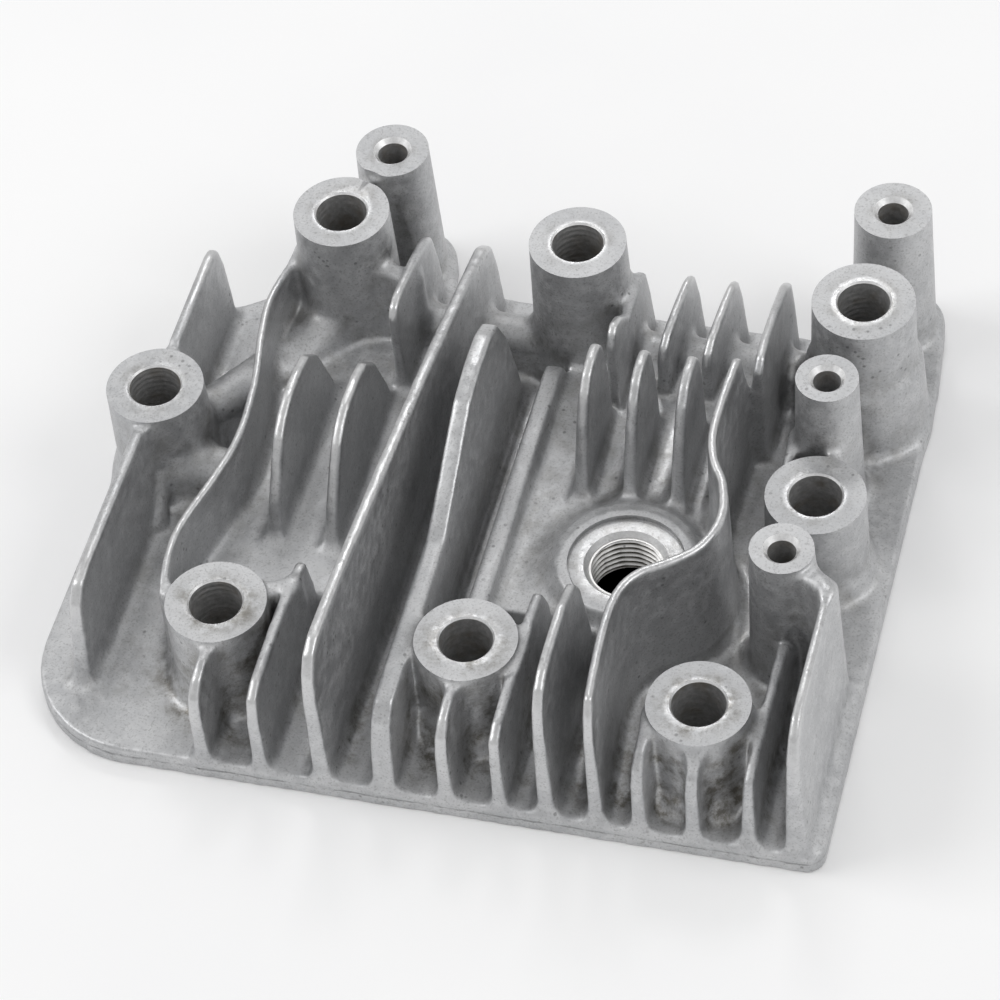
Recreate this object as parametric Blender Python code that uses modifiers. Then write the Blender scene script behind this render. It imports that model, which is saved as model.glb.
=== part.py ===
"""Air-cooled side-valve engine cylinder head, bare casting, split into its named features.

Plan positions are written in millimetres from the straight front edge (y) and from a datum
near the middle of the head (x).  plan() turns them into metres about the centre of the
gasket face, which lies on z = 0 with the fins pointing up.
"""
import math

import bmesh
import bpy
from mathutils import Matrix, Vector

MM = 0.001
CENTRE_X = 7.9
CENTRE_Y = 65.05
GAP = 0.3

# Deck: the flange that carries everything, gasket face at z = 0
DECK_TOP = 3.6
DECK_LEFT = -63.8
DECK_RIGHT = 79.6
DECK_REAR = 114.5
FRONT_LEFT_RADIUS = 20.8
FRONT_RIGHT_RADIUS = 3.0
EAR_RADIUS = 9.3

# Head-bolt bosses
BOLT_BORE_RADIUS = 4.63
BOLT_BOSS_TOP_RADIUS = 8.75
LOW_BOSS_TOP = 22.5
SIDE_BOSS_TOP = 24.0
HIGH_BOSS_TOP = 33.0
DRAFT = 0.028

# Shroud bosses, with blind tapped holes
SHROUD_BOSS_TOP = 33.5
SHROUD_HOLE_DEPTH = 14.0

# Spark plug boss, M14 thread
PLUG_X = 36.0
PLUG_Y = 47.4
PLUG_SEAT = 14.6
PLUG_SEAT_RADIUS = 10.2
PLUG_OUTER_RADIUS = 11.6
PLUG_BORE_RADIUS = 6.4

# Raised roofs over the chamber
LEFT_ROOF_TOP = 8.5
RIGHT_ROOF_TOP = 10.0
CHAMBER_DEPTH = 5.5
TRANSFER_DEPTH = 1.6

# Cooling fins
TALL_FIN_TOP = 35.0
WALL_TOP = 33.0
SHORT_FIN_TOP = 22.2
SIDE_FIN_TOP = 23.8
LEFT_WALL_TOP = 22.3
FIN_TIP = 0.9
FIN_ROOT = 1.45

RAIL_TOP = 12.5

STANDS = DECK_TOP + GAP

BOLT_BOSSES = {
    # name: (x, y, top height, top radius, extra collar)
    "head_bolt_boss_front_left": (-29.5, 20.4, LOW_BOSS_TOP, BOLT_BOSS_TOP_RADIUS, False),
    "head_bolt_boss_front_middle": (14.9, 20.4, LOW_BOSS_TOP, BOLT_BOSS_TOP_RADIUS, False),
    "head_bolt_boss_front_right": (56.4, 14.5, LOW_BOSS_TOP, BOLT_BOSS_TOP_RADIUS, False),
    "head_bolt_boss_right_side": (66.5, 62.1, LOW_BOSS_TOP, BOLT_BOSS_TOP_RADIUS, False),
    "head_bolt_boss_left_side": (-54.3, 64.9, SIDE_BOSS_TOP, BOLT_BOSS_TOP_RADIUS, False),
    "head_bolt_boss_rear_left": (-29.5, 104.2, HIGH_BOSS_TOP, BOLT_BOSS_TOP_RADIUS, False),
    "head_bolt_boss_rear_middle": (14.9, 104.0, HIGH_BOSS_TOP, BOLT_BOSS_TOP_RADIUS, False),
    "head_bolt_boss_rear_right": (68.0, 98.6, HIGH_BOSS_TOP, 9.1, True),
}

SHROUD_BOSSES = {
    # name: (x, y, top radius, hole radius)
    "shroud_boss_rear_left": (-24.2, 120.5, 6.7, 2.75),
    "shroud_boss_rear_right": (69.1, 120.8, 6.9, 2.75),
    "shroud_boss_right_rear": (65.3, 79.3, 5.45, 2.45),
    "shroud_boss_right_front": (65.3, 40.6, 5.45, 2.45),
}

collections = {}


# ---------------------------------------------------------------- helpers

def clear_scene():
    for obj in list(bpy.data.objects):
        bpy.data.objects.remove(obj, do_unlink=True)


def make_collection(key, name):
    collection = bpy.data.collections.new(name)
    bpy.context.scene.collection.children.link(collection)
    collections[key] = collection


def plan(x, y, z=0.0):
    return Vector(((x - CENTRE_X) * MM, (y - CENTRE_Y) * MM, z * MM))


def make_material(name, colour, roughness, metallic):
    material = bpy.data.materials.new(name)
    material.use_nodes = True
    shader = material.node_tree.nodes["Principled BSDF"]
    shader.inputs["Base Color"].default_value = (*colour, 1.0)
    shader.inputs["Roughness"].default_value = roughness
    shader.inputs["Metallic"].default_value = metallic
    return material


def add_part(name, mesh, shade=0.50, location=None):
    """Link a mesh as a sub-part with its own cast-aluminium material."""
    obj = bpy.data.objects.new(name, mesh)
    mesh.name = name
    collections["parts"].objects.link(obj)
    if location is not None:
        obj.location = location
    mesh.materials.clear()
    mesh.materials.append(make_material(name + "_metal", (shade, shade, shade * 1.02), 0.42, 1.0))
    return obj


def add_cutter(name, mesh, location=None):
    obj = bpy.data.objects.new(name, mesh)
    collections["cutters"].objects.link(obj)
    obj.hide_render = True
    obj.display_type = "WIRE"
    if location is not None:
        obj.location = location
    return obj


def carve(part, cutters, operation="DIFFERENCE"):
    for cutter in cutters:
        modifier = part.modifiers.new("carve_" + cutter.name, "BOOLEAN")
        modifier.operation = operation
        modifier.solver = "EXACT"
        modifier.object = cutter


def tidy(mesh):
    work = bmesh.new()
    work.from_mesh(mesh)
    bmesh.ops.remove_doubles(work, verts=work.verts, dist=1e-6)
    bmesh.ops.recalc_face_normals(work, faces=work.faces)
    work.to_mesh(mesh)
    work.free()


def curve_mesh(name, data):
    """Turn curve data into a plain mesh and drop the curve."""
    obj = bpy.data.objects.new(name + "_curve", data)
    collections["parts"].objects.link(obj)
    bpy.context.view_layer.update()
    graph = bpy.context.evaluated_depsgraph_get()
    mesh = bpy.data.meshes.new_from_object(obj.evaluated_get(graph))
    bpy.data.objects.remove(obj, do_unlink=True)
    bpy.data.curves.remove(data)
    tidy(mesh)
    return mesh


def filled_curve(name, loops, thickness):
    """Flat outline with holes, given in millimetres, extruded evenly about its own plane."""
    data = bpy.data.curves.new(name, "CURVE")
    data.dimensions = "2D"
    data.fill_mode = "BOTH"
    data.extrude = thickness * MM / 2
    for loop in loops:
        spline = data.splines.new("POLY")
        spline.points.add(len(loop) - 1)
        for point, (x, y) in zip(spline.points, loop):
            point.co = (x * MM, y * MM, 0.0, 1.0)
        spline.use_cyclic_u = True
    return curve_mesh(name, data)


def slab(name, loops, bottom, top):
    """Outline in plan coordinates between two heights."""
    mesh = filled_curve(name, loops, top - bottom)
    shift = plan(0.0, 0.0, (top + bottom) / 2)
    mesh.transform(Matrix.Translation(shift))
    return mesh


def arc(x, y, radius, start, end, steps):
    points = []
    for i in range(steps + 1):
        angle = math.radians(start + (end - start) * i / steps)
        points.append((x + radius * math.cos(angle), y + radius * math.sin(angle)))
    return points


def circle(x, y, radius, steps=32):
    return arc(x, y, radius, 0, 360 * (steps - 1) / steps, steps - 1)


def smooth_path(knots, steps=5):
    """Catmull-Rom curve through the knots."""
    ends = [knots[0]] + list(knots) + [knots[-1]]
    points = []
    for i in range(1, len(ends) - 2):
        a, b, c, d = (Vector(p) for p in ends[i - 1:i + 3])
        for k in range(steps):
            t = k / steps
            point = 0.5 * (2 * b + (c - a) * t + (2 * a - 5 * b + 4 * c - d) * t ** 2
                           + (3 * b - a - 3 * c + d) * t ** 3)
            points.append(tuple(point))
    points.append(tuple(knots[-1]))
    return points


def offset_path(path, distance):
    """Copy of a plan path moved sideways, positive to its left."""
    moved = []
    for i, (x, y) in enumerate(path):
        ax, ay = path[max(i - 1, 0)]
        bx, by = path[min(i + 1, len(path) - 1)]
        length = math.hypot(bx - ax, by - ay)
        moved.append((x - (by - ay) / length * distance, y + (bx - ax) / length * distance))
    return moved


def turned(name, profile, steps, closed):
    """Solid of revolution from a (radius, height) profile in millimetres."""
    mesh = bpy.data.meshes.new(name)
    vertices = [(r * MM, 0.0, z * MM) for r, z in profile]
    edges = [(i, i + 1) for i in range(len(profile) - 1)]
    if closed:
        edges.append((len(profile) - 1, 0))
    mesh.from_pydata(vertices, edges, [])
    obj = bpy.data.objects.new(name + "_profile", mesh)
    collections["parts"].objects.link(obj)
    screw = obj.modifiers.new("screw", "SCREW")
    screw.axis = "Z"
    screw.steps = steps
    screw.render_steps = steps
    screw.use_merge_vertices = True
    screw.merge_threshold = 0.00001
    screw.use_smooth_shade = True
    bpy.context.view_layer.update()
    graph = bpy.context.evaluated_depsgraph_get()
    solid = bpy.data.meshes.new_from_object(obj.evaluated_get(graph))
    bpy.data.objects.remove(obj, do_unlink=True)
    bpy.data.meshes.remove(mesh)
    tidy(solid)
    return solid


def fin_mesh(name, x, outline, tip, root, slant=0.0, outer_root=None):
    """Upright fin along y: a side outline of (y, z), thinner at the tip than at the root."""
    mesh = filled_curve(name, [outline], 2.0)
    turn = Matrix(((0, 0, 1, 0), (1, 0, 0, 0), (0, 1, 0, 0), (0, 0, 0, 1)))
    mesh.transform(turn)
    top = max(z for _, z in outline) * MM
    right_root = root if outer_root is None else outer_root
    for vertex in mesh.vertices:
        side = 1.0 if vertex.co.x > 0 else -1.0
        base = right_root if side > 0 else root
        rise = min(1.0, max(0.0, vertex.co.z / top))
        vertex.co.x = side * (base + (tip - base) * rise) * MM + slant * vertex.co.y
    mesh.transform(Matrix.Translation(plan(x, 0.0)))
    return mesh


def fin(name, x, outline, cutters=(), tip=FIN_TIP, root=FIN_ROOT, slant=0.0,
        outer_root=None, shade=0.50):
    part = add_part(name, fin_mesh(name, x, outline, tip, root, slant, outer_root), shade)
    carve(part, cutters)
    return part


def wall_mesh(name, path, bottom, top, tip, root):
    """Upright wall swept along a plan path, drafted on both faces."""
    section = bpy.data.curves.new(name + "_section", "CURVE")
    section.dimensions = "2D"
    spline = section.splines.new("POLY")
    corners = [(-root, bottom), (root, bottom), (tip, top), (-tip, top)]
    spline.points.add(3)
    for point, (across, height) in zip(spline.points, corners):
        point.co = (across * MM, height * MM, 0.0, 1.0)
    spline.use_cyclic_u = True
    profile = bpy.data.objects.new(name + "_section", section)
    collections["parts"].objects.link(profile)

    data = bpy.data.curves.new(name, "CURVE")
    data.dimensions = "3D"
    data.twist_mode = "Z_UP"
    data.bevel_mode = "OBJECT"
    data.bevel_object = profile
    data.use_fill_caps = True
    spine = data.splines.new("POLY")
    spine.points.add(len(path) - 1)
    for point, (x, y) in zip(spine.points, path):
        place = plan(x, y)
        point.co = (place.x, place.y, 0.0, 1.0)
    mesh = curve_mesh(name, data)
    bpy.data.objects.remove(profile, do_unlink=True)
    bpy.data.curves.remove(section)
    return mesh


def boss_radius(top_radius, top, z):
    return top_radius + (top - z) * DRAFT


# ---------------------------------------------------------------- deck

def deck_outline():
    points = []
    points += arc(DECK_LEFT + FRONT_LEFT_RADIUS, FRONT_LEFT_RADIUS, FRONT_LEFT_RADIUS, 180, 270, 10)
    points += arc(DECK_RIGHT - FRONT_RIGHT_RADIUS, FRONT_RIGHT_RADIUS, FRONT_RIGHT_RADIUS, 270, 360, 5)
    points += [(DECK_RIGHT, 108.0)]
    points += arc(69.1, 120.8, EAR_RADIUS, 0, 180, 14)
    points += [(57.5, DECK_REAR), (-13.0, DECK_REAR)]
    points += arc(-24.2, 120.5, EAR_RADIUS, 0, 180, 14)
    points += [(-37.5, DECK_REAR), (-55.0, 102.6), (DECK_LEFT, 92.0)]
    return points


def chamber_outline(grow=0.0):
    """Combustion chamber: bore side on the right, valve side on the left."""
    points = []
    points += arc(27.0, 62.0, 23.0 + grow, -100, 100, 18)
    points += arc(-19.0, 74.0, 13.0 + grow, 90, 200, 9)
    points += arc(-19.0, 52.0, 13.0 + grow, 180, 270, 7)
    return points


def left_chamber_outline():
    points = []
    points += arc(-21.0, 78.0, 9.0, 0, 180, 10)
    points += arc(-22.0, 50.0, 8.0, 180, 270, 6)
    points += arc(-20.0, 50.0, 8.0, 270, 360, 6)
    return points


def right_chamber_outline():
    points = []
    points += arc(30.0, 54.5, 16.8, -80, 90, 16)
    points += [(21.0, 71.3), (21.0, 42.0)]
    return points


def build_deck():
    holes = [circle(x, y, BOLT_BORE_RADIUS, 40) for x, y, *_ in BOLT_BOSSES.values()]
    loops = [deck_outline()] + holes
    deck = add_part("gasket_deck", slab("gasket_deck", loops, 0.0, DECK_TOP), 0.50)
    transfer = add_cutter("transfer_recess",
                          slab("transfer_recess", [chamber_outline()], -1.0, TRANSFER_DEPTH))
    left = add_cutter("left_chamber_opening",
                      slab("left_chamber_opening", [left_chamber_outline()], -1.0, DECK_TOP + 1.0))
    right = add_cutter("right_chamber_opening",
                       slab("right_chamber_opening", [right_chamber_outline()], -1.0, DECK_TOP + 1.0))
    carve(deck, [transfer, left, right])


# ---------------------------------------------------------------- bosses

def boss_profile(top, top_radius, collar, bore, grow=0.0):
    foot = STANDS if grow == 0.0 else STANDS - 1.0
    head = top if grow == 0.0 else top + 20.0
    outer = [(top_radius + grow, head)]
    if grow > 0.0:
        outer.append((top_radius + grow, top))
    if collar:
        outer.append((boss_radius(top_radius, top, 19.4) + grow, 19.4))
        outer.append((10.5 + grow, 18.2))
        outer.append((11.5 + grow, foot))
    else:
        outer.append((boss_radius(top_radius, top, foot) + grow, foot))
    if grow > 0.0:
        return [(0.0, head)] + outer + [(0.0, foot)]
    return outer + [(bore, foot), (bore, head)]


def build_bolt_bosses():
    clearances = {}
    for name, (x, y, top, top_radius, collar) in BOLT_BOSSES.items():
        mesh = turned(name, boss_profile(top, top_radius, collar, BOLT_BORE_RADIUS), 40, True)
        add_part(name, mesh, 0.56, plan(x, y))
        grown = turned(name + "_clearance", boss_profile(top, top_radius, collar, 0.0, GAP), 40, False)
        clearances[name] = add_cutter(name + "_clearance", grown, plan(x, y))
    return clearances


def build_shroud_bosses():
    clearances = {}
    for name, (x, y, top_radius, hole) in SHROUD_BOSSES.items():
        top = SHROUD_BOSS_TOP
        foot_radius = boss_radius(top_radius, top, STANDS)
        profile = [
            (0.0, top - SHROUD_HOLE_DEPTH),
            (hole, top - SHROUD_HOLE_DEPTH + 1.0),
            (hole, top - 0.8),
            (hole + 0.8, top),
            (top_radius, top),
            (foot_radius, STANDS),
            (0.0, STANDS),
        ]
        add_part(name, turned(name, profile, 32, False), 0.55, plan(x, y))
        grown = [
            (0.0, top + 20.0),
            (top_radius + GAP, top + 20.0),
            (top_radius + GAP, top),
            (foot_radius + GAP, STANDS - 1.0),
            (0.0, STANDS - 1.0),
        ]
        clearance = turned(name + "_clearance", grown, 32, False)
        clearances[name] = add_cutter(name + "_clearance", clearance, plan(x, y))
    return clearances


def build_plug_boss():
    profile = [
        (PLUG_SEAT_RADIUS, PLUG_SEAT),
        (PLUG_SEAT_RADIUS + 0.1, PLUG_SEAT + 0.6),
        (PLUG_OUTER_RADIUS - 0.4, PLUG_SEAT + 0.5),
        (PLUG_OUTER_RADIUS + 1.0, STANDS + 3.0),
        (PLUG_BORE_RADIUS, STANDS + 3.0),
        (PLUG_BORE_RADIUS, PLUG_SEAT - 1.0),
        (PLUG_BORE_RADIUS + 0.8, PLUG_SEAT),
    ]
    mesh = turned("spark_plug_boss", profile, 48, True)
    add_part("spark_plug_boss", mesh, 0.60, plan(PLUG_X, PLUG_Y))
    grown = [
        (0.0, PLUG_SEAT + 20.0),
        (PLUG_OUTER_RADIUS + GAP, PLUG_SEAT + 20.0),
        (PLUG_OUTER_RADIUS - 0.4 + GAP, PLUG_SEAT + 0.5),
        (PLUG_OUTER_RADIUS + 1.0 + GAP, STANDS + 3.0 - GAP),
        (PLUG_BORE_RADIUS, STANDS + 3.0 - GAP),
        (PLUG_BORE_RADIUS, 0.0),
        (0.0, 0.0),
    ]
    clearance = turned("spark_plug_boss_clearance", grown, 48, False)
    return add_cutter("spark_plug_boss_clearance", clearance, plan(PLUG_X, PLUG_Y))


# ---------------------------------------------------------------- curved walls

LEFT_WALL_KNOTS = [(-39.4, 21.0), (-40.9, 29.0), (-40.8, 36.5), (-38.3, 47.5), (-36.7, 58.0),
                   (-37.5, 70.5), (-39.8, 83.0), (-40.5, 92.0), (-38.2, 104.2)]

RIGHT_WALL_KNOTS = [(40.9, 1.2), (40.0, 12.0), (39.6, 20.8), (40.2, 27.3), (42.6, 31.8),
                    (47.3, 35.2), (51.6, 39.4), (53.7, 46.0), (52.4, 53.4), (49.8, 58.4),
                    (48.4, 64.0), (48.3, 73.0), (49.2, 86.5)]


def build_curved_walls(boss_cuts):
    left_path = smooth_path(LEFT_WALL_KNOTS)
    left = add_part("curved_wall_left",
                    wall_mesh("curved_wall_left", left_path, STANDS, LEFT_WALL_TOP, 0.7, 1.15))
    carve(left, [boss_cuts["head_bolt_boss_front_left"], boss_cuts["head_bolt_boss_rear_left"]])

    right_path = smooth_path(RIGHT_WALL_KNOTS)
    right = add_part("curved_wall_right",
                     wall_mesh("curved_wall_right", right_path, STANDS, WALL_TOP, 0.75, 1.3))
    side = [(0.2, STANDS - 1.0), (0.8, 24.0), (2.4, 30.5), (5.0, WALL_TOP + 1.0),
            (80.0, WALL_TOP + 1.0), (82.5, 32.0), (87.5, STANDS - 1.0)]
    trim = add_cutter("curved_wall_right_side", fin_mesh("curved_wall_right_side", 46.0, side, 16.0, 16.0))
    carve(right, [trim], "INTERSECT")
    return left_path, right_path


def wall_clearance(left_path):
    return add_cutter("left_wall_clearance",
                      wall_mesh("left_wall_clearance", left_path, STANDS - 1.5, 60.0, 1.15 + GAP, 1.15 + GAP))


# ---------------------------------------------------------------- chamber roofs

def build_roofs(left_path, right_path, plug_cut, boss_cuts):
    beside_left = [p for p in offset_path(left_path, -1.15 - GAP) if 36.0 < p[1] < 96.0]
    left_loop = [(-33.0, 35.0), (-9.3, 35.0), (-9.3, 96.6)] + beside_left[::-1]
    left = add_part("chamber_roof_left", slab("chamber_roof_left", [left_loop], STANDS, LEFT_ROOF_TOP), 0.46)
    left_recess = add_cutter("left_roof_recess",
                             slab("left_roof_recess", [left_chamber_outline()], STANDS - 1.0, CHAMBER_DEPTH))
    carve(left, [left_recess, boss_cuts["head_bolt_boss_rear_left"]])

    beside_right = [p for p in offset_path(right_path, 1.3 + GAP) if p[1] > 34.5]
    right_loop = [(14.6, 37.0), (26.0, 37.0), (32.0, 35.0), (38.0, 33.4), (43.0, 34.3)]
    right_loop += beside_right + [(48.0, 96.6), (14.6, 96.6)]
    right = add_part("chamber_roof_right",
                     slab("chamber_roof_right", [right_loop], STANDS, RIGHT_ROOF_TOP), 0.48)
    right_recess = add_cutter("right_roof_recess",
                              slab("right_roof_recess", [right_chamber_outline()], STANDS - 1.0, CHAMBER_DEPTH))
    carve(right, [plug_cut, right_recess, boss_cuts["head_bolt_boss_rear_middle"]])


# ---------------------------------------------------------------- fins

def front_fin_outline(end, top=SHORT_FIN_TOP):
    """Fin that rises from the front edge and runs back under a boss rim."""
    return [(0.4, STANDS), (0.7, 15.0), (1.8, top - 3.2), (4.4, top - 1.0), (8.0, top - 0.2),
            (end, top), (end, STANDS)]


def build_front_fins(boss_cuts):
    left = boss_cuts["head_bolt_boss_front_left"]
    middle = boss_cuts["head_bolt_boss_front_middle"]
    right = boss_cuts["head_bolt_boss_front_right"]
    fin("front_fin_01", -28.4, front_fin_outline(14.0), [left])
    fin("front_fin_02", -18.0,
        [(0.4, STANDS), (0.7, 15.0), (2.0, 20.6), (5.4, 22.3), (20.0, 22.6), (28.0, 21.4),
         (33.0, 20.6), (34.3, 14.0), (34.6, 9.0), (34.6, STANDS)],
        [left, bpy.data.objects["left_roof_clearance"]])
    fin("front_fin_03", 14.9, front_fin_outline(14.0), [middle])
    fin("front_fin_04", 24.3,
        [(0.4, STANDS), (0.6, 15.0), (1.4, 20.4), (4.4, 22.0), (12.0, 22.4), (27.0, 22.6),
         (33.0, 21.6), (35.6, 16.0), (36.6, STANDS)], [middle], root=1.3)
    fin("front_fin_05", 32.2,
        [(1.0, STANDS), (1.6, 24.0), (2.4, 29.5), (4.2, 33.0), (7.4, 34.6), (12.0, TALL_FIN_TOP),
         (21.0, TALL_FIN_TOP), (27.5, 32.6), (29.4, 29.6), (31.6, 20.0), (33.6, 9.0),
         (34.0, STANDS)], tip=0.85, root=1.5)
    fin("front_fin_06", 48.5, front_fin_outline(12.0, 21.6), [right])
    fin("front_fin_07", 57.7, front_fin_outline(9.0, 21.6), [right])
    fin("front_fin_08", 66.9,
        [(1.2, STANDS), (2.2, 13.0), (3.6, 17.4), (6.6, 18.8), (30.0, 18.8), (32.6, 18.0),
         (34.0, 14.0), (36.0, STANDS)], [right, boss_cuts["shroud_boss_right_front"]], tip=0.8)


def build_long_fins(rail_cut, boss_cuts):
    fin("long_fin_left", -7.0,
        [(0.3, STANDS), (0.8, 24.0), (1.8, 30.0), (3.6, 33.4), (7.0, TALL_FIN_TOP),
         (20.0, TALL_FIN_TOP), (46.0, 33.0), (76.0, 30.0), (96.0, 27.0), (107.0, 25.0),
         (109.6, 23.0), (111.4, 16.0), (112.8, STANDS)],
        [rail_cut], tip=1.0, root=1.6, slant=0.023)
    fin("long_fin_middle", 4.0,
        [(0.3, STANDS), (1.6, 13.0), (3.6, 18.6), (6.4, 20.8), (12.0, 21.2), (41.0, 21.6),
         (47.0, 24.6), (57.0, 30.0), (63.0, 33.2), (71.0, 34.4), (78.0, 34.2), (82.4, 32.4),
         (86.0, 26.0), (89.6, 14.0), (92.0, STANDS)],
        [boss_cuts["head_bolt_boss_front_middle"]], tip=1.55, root=2.0)
    fin("flat_top_rib", 12.2,
        [(27.0, STANDS), (27.0, 13.0), (29.0, 13.6), (89.0, 13.2), (92.2, 12.4), (92.2, STANDS)],
        [boss_cuts["head_bolt_boss_front_middle"], boss_cuts["head_bolt_boss_rear_middle"]],
        tip=1.7, root=2.0)


def build_side_fins(boss_cuts):
    boss = boss_cuts["head_bolt_boss_left_side"]
    fin("side_fin_front", -54.2,
        [(12.4, STANDS), (14.6, 12.0), (16.6, 20.4), (19.4, SIDE_FIN_TOP - 0.6),
         (24.0, SIDE_FIN_TOP), (60.0, SIDE_FIN_TOP), (60.0, STANDS)],
        [boss], tip=1.0, root=1.7)
    fin("side_fin_rear", -54.2,
        [(69.0, STANDS), (69.0, SIDE_FIN_TOP), (97.6, SIDE_FIN_TOP), (100.0, 23.0),
         (101.4, 18.0), (102.0, 10.0), (102.0, STANDS)],
        [boss], tip=1.0, root=1.5)
    wall = fin("right_front_wall", 74.5,
               [(0.5, STANDS), (1.2, 18.0), (2.4, 26.5), (4.2, 30.5), (7.0, 32.6), (11.0, WALL_TOP),
                (34.0, WALL_TOP), (36.0, 32.0), (36.8, STANDS)],
               tip=0.8, root=1.2, outer_root=3.0)
    return wall


def inner_left_outline(z0):
    return [(46.0, z0), (49.0, 15.0), (53.4, 22.0), (56.0, 25.4), (59.0, 27.4), (63.0, 28.5),
            (69.0, 28.4), (74.0, 27.2), (78.0, 23.0), (82.0, 13.0), (83.0, z0)]


def inner_right_outline(z0):
    return [(64.0, z0), (66.0, 18.0), (68.4, 24.6), (71.0, 29.6), (74.0, 32.2), (77.5, 33.0),
            (81.0, 32.6), (82.6, 30.4), (83.8, 24.0), (84.2, z0)]


def rear_fin_outline(front):
    return [(85.2, front), (85.4, 26.6), (86.8, 28.6), (90.0, 29.2), (100.0, 27.4), (107.0, 25.4),
            (109.4, 23.6), (111.2, 16.0), (113.0, STANDS), (97.0, STANDS), (97.0, front)]


def rear_right_outline(front):
    """Lower fin whose front edge stands just in front of the rear rail."""
    return [(90.6, front), (90.8, 18.4), (92.0, 20.8), (94.6, 22.2), (99.0, 22.9), (104.0, 23.2),
            (107.6, 23.0), (109.6, 22.0), (111.2, 16.0), (113.0, STANDS), (97.0, STANDS), (97.0, front)]


def build_inner_fins(rail_cut, boss_cuts):
    left_foot = LEFT_ROOF_TOP + GAP
    fin("inner_fin_left_1", -28.4, inner_left_outline(left_foot), tip=0.9, root=1.4)
    fin("inner_fin_left_2", -17.8, inner_left_outline(left_foot), tip=0.9, root=1.4)
    right_foot = RIGHT_ROOF_TOP + GAP
    for number, x in enumerate((23.6, 32.4, 41.0), start=1):
        fin("inner_fin_right_%d" % number, x, inner_right_outline(right_foot), tip=0.9, root=1.4)
    middle = boss_cuts["head_bolt_boss_rear_middle"]
    beside_boss = [(85.5, right_foot), (85.7, 26.6), (87.0, 28.8), (89.0, 29.6), (92.0, 28.0), (97.0, 23.2),
                   (107.0, 22.8), (109.4, 21.4), (111.2, 15.0), (113.0, STANDS), (97.0, STANDS),
                   (97.0, right_foot)]
    fin("rear_fin_1", 24.8, beside_boss, [rail_cut, middle], tip=0.8, root=1.2)
    for number, x in enumerate((24.8, 32.9), start=2):
        fin("rear_fin_%d" % number, x, rear_right_outline(right_foot), [rail_cut],
            tip=0.8, root=1.2, slant=0.085)
    fin("rear_fin_4", 51.9,
        [(83.4, STANDS), (83.8, 27.0), (86.0, 28.8), (90.0, 29.2), (100.0, 27.4), (107.0, 25.4),
         (109.4, 23.6), (111.2, 16.0), (113.0, STANDS)], [rail_cut], tip=0.8, root=1.2)
    left_front = LEFT_ROOF_TOP + GAP
    fin("rear_fin_0", -15.4, rear_fin_outline(left_front),
        [rail_cut, boss_cuts["head_bolt_boss_rear_left"]], tip=0.8, root=1.2)


# ---------------------------------------------------------------- rails, webs and ribs

def rail_loops(y_front, y_rear):
    return [(y_front, STANDS), (y_front + 0.6, RAIL_TOP - 1.4), (y_front + 2.0, RAIL_TOP),
            (y_rear - 2.0, RAIL_TOP), (y_rear - 0.6, RAIL_TOP - 1.4), (y_rear, STANDS)]


def beam_mesh(name, start, end, half_width, bottom, top):
    """Low rounded web between two plan points."""
    ax, ay = start
    bx, by = end
    length = math.hypot(bx - ax, by - ay)
    section = [(-half_width, bottom), (half_width, bottom), (half_width * 0.9, top - 1.6),
               (half_width * 0.45, top), (-half_width * 0.45, top), (-half_width * 0.9, top - 1.6)]
    mesh = filled_curve(name, [section], length)
    turn = Matrix(((0, 0, 1, 0), (1, 0, 0, 0), (0, 1, 0, 0), (0, 0, 0, 1)))
    mesh.transform(turn)
    angle = math.atan2(by - ay, bx - ax)
    centre = plan((ax + bx) / 2, (ay + by) / 2)
    mesh.transform(Matrix.Translation(centre) @ Matrix.Rotation(angle, 4, "Z"))
    return mesh


def build_rails(boss_cuts):
    rear_y = 101.0
    left = boss_cuts["head_bolt_boss_rear_left"]
    middle = boss_cuts["head_bolt_boss_rear_middle"]
    right = boss_cuts["head_bolt_boss_rear_right"]
    rail = add_part("rear_rail_left",
                    beam_mesh("rear_rail_left", (-29.0, rear_y), (14.0, rear_y), 4.0, STANDS, RAIL_TOP), 0.52)
    carve(rail, [left, middle])
    rail = add_part("rear_rail_right",
                    beam_mesh("rear_rail_right", (15.0, rear_y), (68.0, rear_y), 4.0, STANDS, RAIL_TOP), 0.52)
    carve(rail, [middle, right])


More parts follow.
